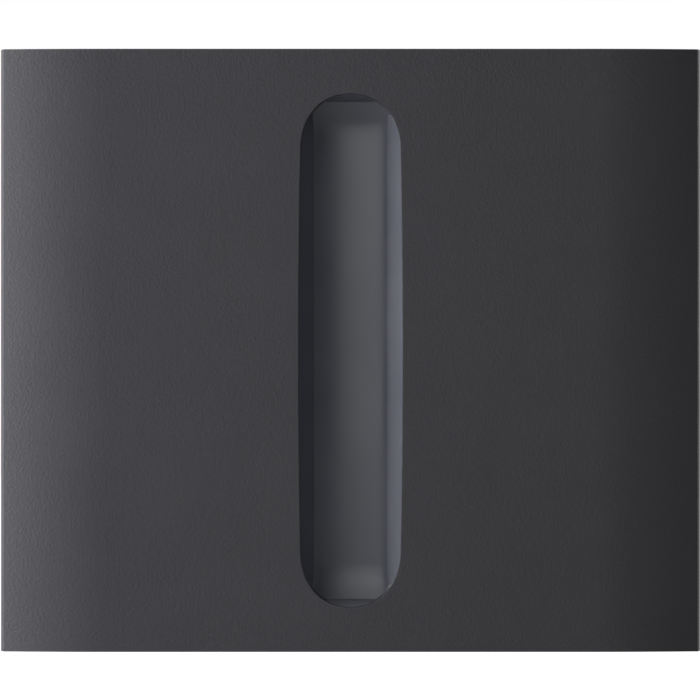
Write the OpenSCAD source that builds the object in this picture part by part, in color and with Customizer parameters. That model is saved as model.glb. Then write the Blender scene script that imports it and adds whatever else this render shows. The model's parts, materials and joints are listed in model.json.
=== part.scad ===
// Wall light switch, the middle section of an upright row: a rocking key over a relay insert.
// X runs to the right, Y into the wall and Z up. The wall's surface is the plane Y = 0, and the
// origin is the middle of the section on that plane. All sizes are in millimetres.

/* [Row of sections] */
// Distance between the middles of two sections
row_pitch = 71; // [62:0.5:90]
// Gap between two neighbouring sections
row_gap = 0.3; // [0.3:0.05:0.5]
// Width over the key and its frame
section_w = 82.2; // [81:0.1:100]

/* [Key] */
// Thickness of the key's face
face_t = 2; // [1.6:0.1:3]
// Thickness of the skirt around the key
skirt_t = 1.8; // [1.2:0.1:2.2]
// Depth of the skirt, from the face to its rear edge
skirt_depth = 5.9; // [5.2:0.1:7]
// Width over which each side of the face falls back
crown_w = 12; // [8:0.5:20]
// How far it has fallen back at the edge
crown_d = 1.5; // [0.1:0.1:1.6]
// Width of the bevel on the left and right edges
bevel_w = 0.35; // [0.2:0.05:0.8]
// Depth of that bevel
bevel_d = 1.6; // [0.8:0.1:2.5]
// Angle that the key tilts each way
key_tilt = 1.5; // [1:0.1:1.8]
// Thickness of the carrier plate behind the key
carrier_t = 1.3; // [1:0.1:2]
// Radius of the pivot pins
pivot_r = 1; // [0.8:0.05:1.25]

/* [Finger groove] */
// Width of the groove where its round ends begin
groove_end_w = 11.8; // [9:0.1:14]
// How far each long side bulges outwards
groove_bow = 0.23; // [0:0.01:0.6]
// Length of each half-elliptical end
groove_end = 6.8; // [5.9:0.1:10]
// From the end of the groove to the key's edge
groove_margin = 5.25; // [4:0.05:12]
// Depth at the middle
groove_depth = 3; // [2:0.1:3.2]
// Slope of the groove's side walls, depth over width
groove_slope = 1.45; // [1:0.05:2.5]
// Slope of its end walls
groove_end_slope = 2.6; // [1:0.1:4]
// Thickness of the insert's flange
flange_t = 0.8; // [0.6:0.1:1.2]
// Width of the insert's flange
flange_w = 1.5; // [1:0.1:1.8]

/* [Frame and plate] */
// Thickness of the steel support plate
plate_t = 1; // [0.8:0.1:1.5]
// Distance between the two wall box screws
box_screw_spacing = 60; // [58:0.5:60]
// Radius of the ends of the wall box screw slots
box_slot_r = 1.8; // [1.6:0.1:2.2]
// Length of those slots from end to end
box_slot_l = 5.5; // [4.5:0.5:6]
// Thickness of the frame's inner collar
collar_t = 1; // [0.8:0.1:1.4]

/* [Electronics tray] */
// Thickness of the tray's floor
tray_t = 1; // [0.8:0.1:1.6]
// Width of the control board
board_w = 50; // [42:1:50]
// Height of the control board
board_h = 50; // [42:1:50]
// Thickness of both circuit boards
board_t = 1; // [0.8:0.1:1.6]
// Height of the rocker switch bodies
switch_h = 2.2; // [2:0.1:3]
// Width of the rocker switch bodies
switch_w = 7; // [6:0.1:8]
// Radius of the switch stems
stem_r = 1.5; // [1.2:0.1:1.7]
// How far a stem stands out of its switch
stem_show = 1.15; // [0.95:0.05:2]
// Distance from the key's axis to a stem
stem_arm = 18; // [15:0.5:19]

/* [Relay insert] */
// Width of the insert
core_w = 40; // [39:0.5:44]
// Height of the insert
core_h = 46; // [45:0.5:50]
// Depth of the front shell
front_depth = 15; // [14:0.5:20]
// Depth of the rear shell
rear_depth = 16; // [16:0.5:22]
// Corner radius of the insert
core_r = 7; // [5:0.5:9]
// Wall thickness of both shells
core_wall = 1.6; // [1.2:0.1:2]
// Thickness of the rear shell's back
back_t = 3; // [2.5:0.1:4]

/* [Terminals] */
// Distance between two wire entries
wire_pitch = 8; // [7:0.1:8]
// Radius of a wire entry
wire_r = 1.45; // [1.2:0.05:1.5]
// Travel of a release lever
lever_travel = 1.2; // [0.8:0.1:1.4]

/* [Hidden] */
$fn = 48;

e = 0.01;                 // overshoot of a cut past the face it opens
fit = 0.1;                // gap between two fixed pieces that seat on each other
touch = 0.05;             // gap between pieces that all but touch
pivot_gap = 0.03;         // running clearance of a pivot pin
room = 0.37;              // air left at the end of the key's tilt

// Outline of the section
half_w = section_w / 2;
half_h = (row_pitch - row_gap) / 2;

// Planes of the stack, from the wall outwards; outwards is negative Y
plate_y = -plate_t;
tray_y = plate_y - tray_t;
board_gap = 0.4;
board_rear_y = tray_y - board_gap;
board_y = board_rear_y - board_t;
switch_y = board_y - switch_h;
stem_tip_y = switch_y - stem_show;
carrier_rear_y = stem_tip_y - touch;
carrier_y = carrier_rear_y - carrier_t;
flange_y = carrier_y - fit - flange_t;
face_y = flange_y - face_t;
skirt_y = face_y + skirt_depth;
frame_y = skirt_y + half_h * sin(key_tilt) + room;
collar_y = skirt_y - 0.6;
pivot_y = carrier_rear_y + 1.6;

// Nested outlines of the frame, the tray and the carrier
skirt_in_x = half_w - skirt_t;
skirt_in_z = half_h - skirt_t;
collar_out_x = skirt_in_x - 0.45;
collar_out_z = skirt_in_z - 0.5;
collar_in_x = collar_out_x - collar_t;
collar_in_z = collar_out_z - collar_t;
carrier_half_w = skirt_in_x - 1.35;
carrier_half_h = skirt_in_z - 0.6;
tray_half_w = collar_in_x - 0.4;
tray_half_h = collar_in_z - 0.4;
plate_half_w = collar_in_x - 2.4;
plate_half_h = half_h - 0.1;

// Pivot ears: the tray's ear stands inside, the carrier's ear outside it
tray_ear_x = collar_in_x - 4.3;
tray_ear_t = 1.8;
carrier_ear_x = tray_ear_x + tray_ear_t + 0.4;
carrier_ear_t = 1.6;
ear_half_z = 3;

// Places on the control board, as [x, z]
stem_x = 16;
stem_travel = stem_arm * key_tilt * PI / 180;
upper_at = [stem_x, stem_arm];
lower_at = [stem_x, -stem_arm];
pairing_at = [-stem_x, -stem_arm];
pairing_stem_show = stem_show - stem_travel - touch - 0.2;
header_z = -12;
header_pitch = 2;
header_pin_r = 0.3;
header_hole_r = header_pin_r + 0.02;
function header_pin_at(i, row) = [i * header_pitch, header_z + row * header_pitch];
board_peg = [board_w / 2 - 3, board_h / 2 - 3.5];
snap_at = [23.5, 8.5];

// Places in the insert
core_y = front_depth + rear_depth;
back_y = core_y - back_t;
screw_at = [core_w / 2 - 4.5, core_h / 2 - 4.5];
screw_r = 1.25;
boss_r = 2.8;
head_r = 2.25;
head_h = 1.2;
front_bore = 8;
rear_bore = 5;
counterbore = 5;
power_y = front_depth - 3.5;
power_rear_y = power_y + board_t;
wire_z = -core_h / 2 + 8;
lever_z = wire_z + wire_r + 1.45;
lever_h = 1.6;
lever_w = 3.6;
chamber_w = 4.4;
block_y = power_rear_y + 1.6;
block_rear_y = back_y - 0.2;
bus_t = 0.7;
bus_z = wire_z - wire_r - 0.1;

// Relay, placed by the middle of its base
relay_x = -9.5;
relay_z = 4.25;
relay_w = 11;
relay_l = 20.5;
relay_base_t = 1.5;
relay_y = power_rear_y + relay_base_t;
relay_h = 12.8;
hinge_y = relay_y + 10.45;
coil_z = relay_z + 1.5;

// ---------------------------------------------------------------- shared shapes

// Extrudes a shape drawn in X and Z from the plane y0 to the plane y1
module slab(y0, y1) {
    translate([0, y1, 0]) rotate([90, 0, 0]) linear_extrude(y1 - y0) children();
}

// Round bar along Y at [x, z]
module rod(at, r, y0, y1) {
    translate([at[0], y0, at[1]]) rotate([-90, 0, 0]) cylinder(r = r, h = y1 - y0);
}

// Box between two planes on each axis
module block(x0, x1, y0, y1, z0, z1) {
    translate([x0, y0, z0]) cube([x1 - x0, y1 - y0, z1 - z0]);
}

// Corner points of a rectangle with round corners
function round_rect(w, h, r, steps = 6) = [
    for (corner = [0:3], i = [0:steps])
    let (
        a = corner * 90 + 90 * i / steps,
        cx = (corner == 0 || corner == 3 ? 1 : -1) * (w / 2 - r),
        cz = (corner < 2 ? 1 : -1) * (h / 2 - r)
    )
    [cx + r * cos(a), cz + r * sin(a)]
];

module at_four(at) {
    for (sx = [-1, 1], sz = [-1, 1]) translate([sx * at[0], 0, sz * at[1]]) children();
}

module both_sides() {
    children();
    mirror([1, 0, 0]) children();
}

// Bent strip drawn in Y and Z through the points, w wide about x
module strip(points, t, x, w) {
    translate([x - w / 2, 0, 0]) rotate([90, 0, 90]) linear_extrude(w) union() {
        for (i = [0:len(points) - 2]) {
            d = points[i + 1] - points[i];
            translate(points[i]) rotate(atan2(d[1], d[0])) translate([0, -t / 2]) square([norm(d), t]);
        }
        for (p = points) translate(p) circle(r = t / 2, $fn = 24);
    }
}

// Coil spring along Y from y0 to y1, swept as a round wire along a helix
module coil_spring(at, r, wire, turns, y0, y1) {
    sides = 8;
    steps = 14;
    rings = turns * steps;
    rise = (y1 - y0 - wire) / rings;
    points = [
        for (i = [0:rings], k = [0:sides - 1])
        let (
            a = 360 * i / steps,
            b = 360 * k / sides,
            q = r + wire / 2 * cos(b)
        )
        [at[0] + q * cos(a), y0 + wire / 2 + rise * i + wire / 2 * sin(b), at[1] + q * sin(a)]
    ];
    tube = [
        for (i = [0:rings - 1], k = [0:sides - 1])
        let (n = (k + 1) % sides)
        [i * sides + k, i * sides + n, (i + 1) * sides + n, (i + 1) * sides + k]
    ];
    cap0 = [[for (k = [sides - 1:-1:0]) k]];
    cap1 = [[for (k = [0:sides - 1]) rings * sides + k]];
    polyhedron(points, concat(tube, cap0, cap1));
}

// ---------------------------------------------------------------- finger groove

groove_l = 2 * half_h - 2 * groove_margin;
groove_straight = groove_l / 2 - groove_end;
side_steps = 12;
end_steps = 18;
end_power = 2.2;          // shape of the groove's ends: 2 is an ellipse, and more is squarer
insert_gap = 0.03;        // between the insert and the opening in the cover
set_back = 0.02;          // how far the insert's front edge lies behind the face
tub_inset = 0.6;          // how far the tub behind the flange stays inside the groove's outline
dish = 0.16;              // share of the depth by which the floor rises towards its sides
curl = 0.2;               // share by which it also curls up close to the side walls
end_rise = 0.3;           // share of the depth by which it rises towards its ends
rise_l = 5;               // length over which it rises
side_foot = 0.84;         // share of the depth at the foot of the side walls
end_foot = 0.8;           // share of the depth at the foot of the end walls
lip = face_t - 0.15;      // greatest depth at the opening itself, in front of the flange
lip_slope = 4;

function clamped(v, limit) = max(-limit, min(limit, v));
function rounded(v) = sign(v) * pow(abs(v), 2 / end_power);
function side_x(z) = groove_end_w / 2 + groove_bow * (1 - pow(z / groove_straight, 2));
function groove_end_at(a, inset) =
    [(groove_end_w / 2 - inset) * rounded(cos(a)), (groove_end - inset) * rounded(sin(a))];

// Outline of the groove at the key's face, drawn in X and Z, moved inwards by inset
function groove_outline(inset = 0) = concat(
    [
        for (i = [0:side_steps - 1]) let (z = groove_straight * (2 * i / side_steps - 1))
        [side_x(z) - inset, z]
    ],
    [for (i = [0:end_steps - 1]) [0, groove_straight] + groove_end_at(180 * i / end_steps, inset)],
    [
        for (i = [0:side_steps - 1]) let (z = groove_straight * (1 - 2 * i / side_steps))
        [inset - side_x(z), z]
    ],
    [for (i = [0:end_steps - 1]) [0, -groove_straight] + groove_end_at(180 + 180 * i / end_steps, inset)]
);

// Depth of the dished floor: it rises a little to the sides and more towards the ends
function floor_depth(x, z) =
    let (
        across = pow(2 * x / groove_end_w, 2),
        along = max(0, (abs(z) - groove_l / 2 + rise_l) / rise_l)
    )
    groove_depth * (1 - dish * across - curl * pow(across, 4)) * (1 - end_rise * pow(along, 2));

// The least of the side walls, the end walls, the floor, and the lip at the opening
function groove_at(p, inset) = max(0, min(
    groove_slope * (side_x(0) - abs(p[0])),
    groove_end_slope * (groove_l / 2 - abs(p[1])),
    floor_depth(p[0], p[1]),
    lip + lip_slope * inset
));

// The hollow of the groove, from in front of the face to the dished floor
module groove_hollow() {
    beyond = -0.05;
    foot_inset = 0.25;
    shares = [0.12, 0.35, 0.6, 0.85];
    foot_x = side_x(0) - side_foot * groove_depth / groove_slope;
    foot_z = groove_l / 2 - end_foot * groove_depth / groove_end_slope;
    edge = groove_outline(beyond);
    foot = [for (p = groove_outline(foot_inset)) [clamped(p[0], foot_x), clamped(p[1], foot_z)]];
    middle = [for (p = foot) [0, clamped(p[1], groove_straight)]];
    count = len(edge);
    rings = len(shares) + 3;
    front = [for (p = edge) [p[0], face_y - 1, p[1]]];
    rim = [for (p = edge) [p[0], face_y + groove_at(p, beyond), p[1]]];
    corner = [for (p = foot) [p[0], face_y + groove_at(p, foot_inset), p[1]]];
    inner = [
        for (s = shares, k = [0:count - 1]) let (p = foot[k] * (1 - s) + middle[k] * s)
        [p[0], face_y + floor_depth(p[0], p[1]), p[1]]
    ];
    points = concat(front, rim, corner, inner, [[0, face_y - 1, 0], [0, face_y + groove_depth, 0]]);
    wall = [
        for (r = [0:rings - 2], k = [0:count - 1])
        let (n = (k + 1) % count, a = r * count, b = (r + 1) * count)
        each [[a + k, b + n, b + k], [a + k, a + n, b + n]]
    ];
    lid = [for (k = [0:count - 1]) [rings * count, (k + 1) % count, k]];
    last = (rings - 1) * count;
    bottom = [for (k = [0:count - 1]) [rings * count + 1, last + k, last + (k + 1) % count]];
    polyhedron(points, concat(wall, lid, bottom));
}

// ---------------------------------------------------------------- key

crown_steps = 10;
crown_x = half_w - bevel_w - crown_w;
crown_r = (crown_w * crown_w + crown_d * crown_d) / (2 * crown_d);

// Right half of the key's front, seen from above: flat, then an arc, then the bevel
key_front = concat(
    [
        for (i = [0:crown_steps]) let (x = crown_w * i / crown_steps)
        [crown_x + x, face_y + crown_r - sqrt(crown_r * crown_r - x * x)]
    ],
    [[half_w, face_y + crown_d + bevel_d], [half_w, skirt_y]]
);
count_front = len(key_front);

snap_leg_at = [22, 24];
leg_w = 6;
leg_t = 1.2;
barb = 0.5;
leg_y = carrier_rear_y + 0.9;
carrier_rib_z = snap_leg_at[1] + leg_t + barb + 1.6;

// Snap leg of the cover: it passes the carrier, and its barb holds the carrier's rear face
module snap_leg() {
    block(-leg_w / 2, leg_w / 2, flange_y - e, leg_y, 0, leg_t);
    block(-leg_w / 2, leg_w / 2, carrier_rear_y + touch, leg_y, leg_t - e, leg_t + barb);
}

module key_cover() {
    color([0.24, 0.24, 0.25]) difference() {
        union() {
            difference() {
                translate([0, 0, -half_h]) linear_extrude(2 * half_h) polygon(concat(
                    key_front,
                    [for (i = [count_front - 1:-1:0]) [-key_front[i][0], key_front[i][1]]]
                ));
                block(-skirt_in_x, skirt_in_x, flange_y, skirt_y + e, -skirt_in_z, skirt_in_z);
            }
            for (sx = [-1, 1]) {
                translate([sx * snap_leg_at[0], 0, snap_leg_at[1]]) snap_leg();
                translate([sx * snap_leg_at[0], 0, -snap_leg_at[1]]) mirror([0, 0, 1]) snap_leg();
            }
        }
        slab(face_y - 1, flange_y + 1) polygon(groove_outline());
    }
}

module groove_insert() {
    color([0.3, 0.31, 0.33]) difference() {
        union() {
            slab(face_y + set_back, flange_y + e) polygon(groove_outline(insert_gap));
            slab(flange_y, flange_y + flange_t) polygon(groove_outline(-flange_w));
            slab(flange_y + flange_t - e, carrier_rear_y) polygon(groove_outline(tub_inset));
        }
        groove_hollow();
    }
}

guide_half_w = 3.6;
guide_half_l = groove_straight - 3;
guide_t = 1.2;

module light_guide() {
    color([0.85, 0.87, 0.88, 0.6]) difference() {
        slab(carrier_rear_y, carrier_rear_y + guide_t)
            polygon(round_rect(2 * guide_half_w, 2 * guide_half_l, 3));
        for (i = [-2:2]) rod([0, i * lamp_pitch], 1.2, carrier_rear_y + 0.5, carrier_rear_y + guide_t + e);
    }
}

module key_carrier() {
    color([0.16, 0.16, 0.17]) difference() {
        union() {
            slab(carrier_y, carrier_rear_y)
                polygon(round_rect(2 * carrier_half_w, 2 * carrier_half_h, 1.5));
            both_sides() block(
                carrier_ear_x, carrier_ear_x + carrier_ear_t,
                carrier_rear_y - e, pivot_y + pivot_r + 1.2, -ear_half_z + 0.4, ear_half_z - 0.4
            );
            both_sides() for (s = [-1, 1])
                translate([0, 0, s * carrier_rib_z])
                    block(9, carrier_half_w - 2, carrier_rear_y - e, carrier_rear_y + 0.8, -0.6, 0.6);
        }
        slab(carrier_y - 1, carrier_rear_y + 1) polygon(groove_outline(tub_inset - 0.2));
        both_sides() block(
            tray_ear_x - 0.4, tray_ear_x + tray_ear_t + 0.2,
            carrier_y - 1, carrier_rear_y + 1, -ear_half_z - 0.6, ear_half_z + 0.6
        );
        for (sx = [-1, 1], sz = [-1, 1])
            translate([sx * snap_leg_at[0], 0, sz * (snap_leg_at[1] + leg_t / 2)])
                block(
                    -leg_w / 2 - 0.2, leg_w / 2 + 0.2, carrier_y - 1, carrier_rear_y + 1,
                    -leg_t / 2 - 0.2, leg_t / 2 + 0.1
                );
        translate([-carrier_half_w - 1, pivot_y, 0]) rotate([0, 90, 0])
            cylinder(r = pivot_r + pivot_gap, h = 2 * carrier_half_w + 2);
    }
}

// ---------------------------------------------------------------- frame, plate and tray

// Tabs of the frame that the tray's edge holds down
ledge_z = 14;
ledge_half = 4;

module cover_frame() {
    color([0.2, 0.2, 0.21]) difference() {
        union() {
            block(-half_w, half_w, frame_y, 0, -half_h, half_h);
            block(-collar_out_x, collar_out_x, collar_y, frame_y + e, -collar_out_z, collar_out_z);
        }
        difference() {
            block(-collar_in_x, collar_in_x, collar_y - e, e, -collar_in_z, collar_in_z);
            for (sx = [-1, 1], sz = [-1, 1]) scale([sx, 1, sz])
                block(
                    plate_half_w + 0.2, collar_in_x + e, plate_y, 0,
                    ledge_z - ledge_half, ledge_z + ledge_half
                );
        }
        block(-plate_half_w - fit, plate_half_w + fit, plate_y - fit, e, -half_h - e, half_h + e);
    }
}

header_half = [7, 2.6];
window_w = 26;
window_h = 2 * (header_half[1] - header_z + 1);

hook_t = 1.2;
hook_grip = 0.6;
hook_y = 1.4;

module hook_places() {
    both_sides() for (s = [-1, 1]) translate([snap_at[0], 0, s * snap_at[1]]) children();
}

module box_slot(x) {
    for (s = [-1, 1]) rod([x + s * (box_slot_l / 2 - box_slot_r), 0], box_slot_r, plate_y - 1, 1);
    block(
        x - box_slot_l / 2 + box_slot_r, x + box_slot_l / 2 - box_slot_r,
        plate_y - 1, 1, -box_slot_r, box_slot_r
    );
}

module support_plate() {
    color([0.72, 0.73, 0.74]) difference() {
        slab(plate_y, 0) polygon(round_rect(2 * plate_half_w, 2 * plate_half_h, 2));
        slab(plate_y - 1, 1) polygon(round_rect(window_w, window_h, 3));
        for (s = [-1, 1]) box_slot(s * box_screw_spacing / 2);
        at_four(screw_at) rod([0, 0], screw_r + 0.15, plate_y - 1, 1);
        hook_places() block(-hook_t / 2 - hook_grip - 0.1, hook_t / 2 + 0.1, plate_y - 1, 1, -2.8, 2.8);
    }
}

// Snap hook of the tray: it passes the plate, and its barb grips the plate's rear face
module tray_hook() {
    block(-hook_t / 2, hook_t / 2, plate_y - e, hook_y, -2.5, 2.5);
    block(hook_t / 2 - e, hook_t / 2 + hook_grip, touch, hook_y, -2.5, 2.5);
}

module tray() {
    color([0.13, 0.13, 0.14]) difference() {
        union() {
            slab(tray_y, plate_y) polygon(round_rect(2 * tray_half_w, 2 * tray_half_h, 1.5));
            both_sides() block(
                tray_ear_x, tray_ear_x + tray_ear_t,
                pivot_y - pivot_r - 0.6, tray_y + e, -ear_half_z, ear_half_z
            );
            at_four(board_peg) rod([0, 0], 2, board_rear_y, tray_y + e);
            at_four(board_peg) rod([0, 0], 0.8, board_y - 0.5, board_rear_y + e);
            hook_places() tray_hook();
        }
        for (s = [-1, 1]) block(
            s * box_screw_spacing / 2 - 3.5, s * box_screw_spacing / 2 + 3.5,
            tray_y - 1, 1, -4.2, 4.2
        );
        at_four(screw_at) rod([0, 0], head_r + 0.5, tray_y - 1, 0.5);
        block(
            -header_half[0] - 0.4, header_half[0] + 0.4, tray_y - 1, 1,
            header_z - header_half[1] - 0.4, header_z + header_half[1] + 0.4
        );
        translate([-tray_half_w - 1, pivot_y, 0]) rotate([0, 90, 0])
            cylinder(r = pivot_r, h = 2 * tray_half_w + 2);
    }
}

module pivot_pins() {
    color([0.7, 0.71, 0.73]) both_sides() translate([tray_ear_x, pivot_y, 0]) rotate([0, 90, 0])
        cylinder(r = pivot_r, h = carrier_ear_x + carrier_ear_t - tray_ear_x);
}

// ---------------------------------------------------------------- control board

lamp_pitch = 8;
lamp_w = 2;
lamp_h = 0.8;

module control_board() {
    color([0.05, 0.22, 0.14]) difference() {
        slab(board_y, board_rear_y) polygon(round_rect(board_w, board_h, 2));
        at_four(board_peg) rod([0, 0], 0.9, board_y - 1, board_rear_y + 1);
        for (i = [-2:2], row = [-0.5, 0.5])
            rod(header_pin_at(i, row), header_hole_r, board_y - 1, board_rear_y + 1);
    }
}

module status_lamps() {
    color([0.95, 0.93, 0.8]) for (i = [-2:2]) translate([0, 0, i * lamp_pitch]) difference() {
        block(-lamp_w / 2, lamp_w / 2, board_y - lamp_h, board_y, -lamp_w / 2, lamp_w / 2);
        rod([0, 0], 0.7, board_y - lamp_h - 1, board_y - lamp_h + 0.2);
    }
}

shield_half = [7, 9];
shield_at = [-14, 9];
shield_h = 1.8;

module radio_shield() {
    color([0.75, 0.76, 0.77]) translate([shield_at[0], 0, shield_at[1]]) difference() {
        slab(board_y - shield_h, board_y) polygon(round_rect(2 * shield_half[0], 2 * shield_half[1], 0.8));
        slab(board_y - shield_h + 0.2, board_y + e)
            polygon(round_rect(2 * shield_half[0] - 0.4, 2 * shield_half[1] - 0.4, 0.6));
        for (x = [-4, 0, 4], z = [-6, -2, 2, 6]) rod([x, z], 0.7, board_y - shield_h - 1, board_y - 1);
    }
}

module header() {
    color([0.1, 0.1, 0.11]) difference() {
        block(
            -header_half[0], header_half[0], board_rear_y, core_wall,
            header_z - header_half[1], header_z + header_half[1]
        );
        for (i = [-2:2], row = [-0.5, 0.5])
            rod(header_pin_at(i, row), header_hole_r, board_rear_y - 1, core_wall + 1);
    }
}

header_pin_reach = 5;

module header_pins() {
    color([0.85, 0.68, 0.35]) for (i = [-2:2], row = [-0.5, 0.5])
        rod(header_pin_at(i, row), header_pin_r, board_y - 0.4, core_wall + header_pin_reach);
}

// ---------------------------------------------------------------- push switches

bore_gap = 0.08;
lid_t = 0.4;
collar_h = 0.4;
stem_collar_r = stem_r + 0.6;
chamber_r = stem_collar_r + 0.15;
spring_wire = 0.15;
stop_gap = 0.03;

// Switch body: the stem slides in its lid, and its collar in the round chamber below
module switch_body(at) {
    color([0.12, 0.12, 0.13]) difference() {
        block(
            at[0] - switch_w / 2, at[0] + switch_w / 2, switch_y, board_y,
            at[1] - switch_w / 2, at[1] + switch_w / 2
        );
        rod(at, stem_r + bore_gap, switch_y - 1, switch_y + lid_t + e);
        rod(at, chamber_r, switch_y + lid_t, board_y + e);
    }
}

// The rocker's stems move both ways from rest, and the pairing button only inwards
pairing_collar_y = switch_y + lid_t + stop_gap;
stem_collar_y = pairing_collar_y + stem_travel;

// Stem that stands show out of its switch, with its collar at the plane collar_y
module stem(at, show, collar_y, tint) {
    tip = 0.25;
    color(tint) union() {
        rod(at, stem_r, switch_y - show + tip, collar_y + collar_h);
        rod(at, stem_collar_r, collar_y, collar_y + collar_h);
        translate([at[0], switch_y - show, at[1]]) rotate([-90, 0, 0])
            cylinder(r1 = stem_r - tip, r2 = stem_r, h = tip + e);
    }
}

// Spring between a stem's collar and the board
module stem_spring(at, collar_y) {
    color([0.8, 0.8, 0.82])
        coil_spring(at, stem_r, spring_wire, 2, collar_y + collar_h + 0.02, board_y - 0.02);
}

module switch_upper() { switch_body(upper_at); }
module switch_lower() { switch_body(lower_at); }
module switch_pairing() { switch_body(pairing_at); }
module stem_upper() { stem(upper_at, stem_show, stem_collar_y, [0.9, 0.9, 0.88]); }
module stem_lower() { stem(lower_at, stem_show, stem_collar_y, [0.9, 0.9, 0.88]); }
module pairing_button() { stem(pairing_at, pairing_stem_show, pairing_collar_y, [0.8, 0.25, 0.1]); }
module stem_spring_upper() { stem_spring(upper_at, stem_collar_y); }
module stem_spring_lower() { stem_spring(lower_at, stem_collar_y); }
module pairing_spring() { stem_spring(pairing_at, pairing_collar_y); }

// ---------------------------------------------------------------- insert shells and screws

// Slots that let the warm air out: their places across and half their width
vent_xs = [-9:3:9];
vent_half = 0.6;

module core_outline(inset = 0) {
    polygon(round_rect(core_w - 2 * inset, core_h - 2 * inset, core_r - inset));
}

module front_shell() {
    color([0.55, 0.56, 0.57]) difference() {
        union() {
            difference() {
                slab(0, front_depth) core_outline();
                slab(core_wall, front_depth + e) core_outline(core_wall);
            }
            at_four(screw_at) rod([0, 0], boss_r, e, front_depth);
            both_sides() block(core_w / 2 - 2.8, core_w / 2 - core_wall + e, core_wall - e, power_y, -10, 10);
        }
        at_four(screw_at) rod([0, 0], screw_r, -1, front_bore);
        at_four(screw_at) rod([0, 0], screw_r, front_depth - rear_bore, front_depth + 1);
        block(
            -header_half[0] - 0.3, header_half[0] + 0.3, -1, core_wall + 1,
            header_z - header_half[1] - 0.3, header_z + header_half[1] + 0.3
        );
        for (x = vent_xs)
            block(x - vent_half, x + vent_half, 5, 11, core_h / 2 - core_wall - 1, core_h / 2 + 1);
    }
}

module rear_shell() {
    color([0.55, 0.56, 0.57]) difference() {
        union() {
            difference() {
                slab(front_depth, core_y) core_outline();
                slab(front_depth - e, back_y) core_outline(core_wall);
            }
            at_four(screw_at) rod([0, 0], boss_r, front_depth, core_y - e);
        }
        at_four(screw_at) rod([0, 0], screw_r + 0.15, front_depth - 1, core_y + 1);
        at_four(screw_at) rod([0, 0], head_r + 0.25, core_y - counterbore, core_y + 1);
        for (i = [-1:1]) {
            rod([i * wire_pitch, wire_z], wire_r, back_y - 1, core_y + 1);
            block(
                i * wire_pitch - lever_w / 2 - 0.1, i * wire_pitch + lever_w / 2 + 0.1,
                back_y - 1, core_y + 1, lever_z - lever_h / 2 - 0.1, lever_z + lever_h / 2 + 0.1
            );
        }
        for (x = vent_xs, z = [[core_h / 2 - 9, core_h / 2 - 5], [2, 8]])
            block(x - vent_half, x + vent_half, back_y - 1, core_y + 1, z[0], z[1]);
    }
}

// Cross cut of a screw head, as deep as half the head
cross_half_l = 1.3;
cross_half_w = 0.25;

module cross_cut(y0, y1) {
    block(-cross_half_l, cross_half_l, y0, y1, -cross_half_w, cross_half_w);
    block(-cross_half_w, cross_half_w, y0, y1, -cross_half_l, cross_half_l);
}

module insert_screws() {
    color([0.78, 0.78, 0.8]) at_four(screw_at) difference() {
        union() {
            rod([0, 0], head_r, plate_y - head_h, plate_y);
            rod([0, 0], screw_r, plate_y - e, front_bore - 0.5);
        }
        cross_cut(plate_y - head_h - 1, plate_y - head_h / 2);
    }
}

module shell_screws() {
    head_y = core_y - counterbore;
    color([0.78, 0.78, 0.8]) at_four(screw_at) difference() {
        union() {
            rod([0, 0], head_r, head_y, head_y + head_h);
            rod([0, 0], screw_r, front_depth - rear_bore + 0.5, head_y + e);
        }
        cross_cut(head_y + head_h / 2, head_y + head_h + 1);
    }
}

// ---------------------------------------------------------------- power board and its parts

solder_hole_r = 0.9;

module power_board() {
    inset = core_wall + 0.4;
    notch = boss_r + 0.4;
    color([0.05, 0.22, 0.14]) difference() {
        slab(power_y, power_rear_y) core_outline(inset);
        at_four(screw_at) rod([0, 0], notch, power_y - 1, power_rear_y + 1);
        at_four(screw_at) block(0, 8, power_y - 1, power_rear_y + 1, -notch, notch);
        mirror([1, 0, 0]) at_four(screw_at) block(0, 8, power_y - 1, power_rear_y + 1, -notch, notch);
        for (i = [-1:1])
            rod([i * wire_pitch, bus_z - bus_t / 2], solder_hole_r, power_y - 1, power_rear_y + 1);
    }
}

module socket() {
    color([0.92, 0.92, 0.9]) difference() {
        block(
            -header_half[0], header_half[0], core_wall + 0.2, power_y,
            header_z - header_half[1], header_z + header_half[1]
        );
        for (i = [-2:2], row = [-0.5, 0.5])
            rod(header_pin_at(i, row), header_hole_r, core_wall - 1, core_wall + 6);
    }
}

lead_r = 0.3;
coil_box = [7, 5.2];
coil_at = [-6, 7];

module transformer_core() {
    x = coil_at[0];
    z = coil_at[1];
    color([0.2, 0.19, 0.18]) difference() {
        block(x - coil_box[0], x + coil_box[0], power_y - 8.6, power_y, z - 7, z + 7);
        for (window = [[-coil_box[1], -2], [2, coil_box[1]]])
            block(
                x - coil_box[0] - 1, x + coil_box[0] + 1, power_y - 7, power_y - 2,
                z + window[0], z + window[1]
            );
    }
}

module transformer_winding() {
    x = coil_at[0];
    z = coil_at[1];
    color([0.85, 0.7, 0.15]) for (s = [-1, 1])
        block(
            x - coil_box[0] + 0.5, x + coil_box[0] - 0.5, power_y - 6.9, power_y - 2.1,
            z + s * 3.6 - 1.5, z + s * 3.6 + 1.5
        );
}

film_x = [7, 13];
film_z = [1, 14];
film_h = 9;

module film_capacitor() {
    color([0.75, 0.6, 0.1]) block(film_x[0], film_x[1], power_y - film_h, power_y, film_z[0], film_z[1]);
}

can_at = [3, 14];
can_r = 4;
can_l = 12;
score_d = 0.2;
score_l = 3.5;

// Electrolytic can, with the scored cross on its end
module capacitor() {
    end_y = power_rear_y + can_l;
    color([0.1, 0.14, 0.3]) difference() {
        rod(can_at, can_r, power_rear_y, end_y);
        translate([can_at[0], 0, can_at[1]]) {
            block(-score_l, score_l, end_y - score_d, end_y + 1, -score_d, score_d);
            block(-score_d, score_d, end_y - score_d, end_y + 1, -score_l, score_l);
        }
    }
}

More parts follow.
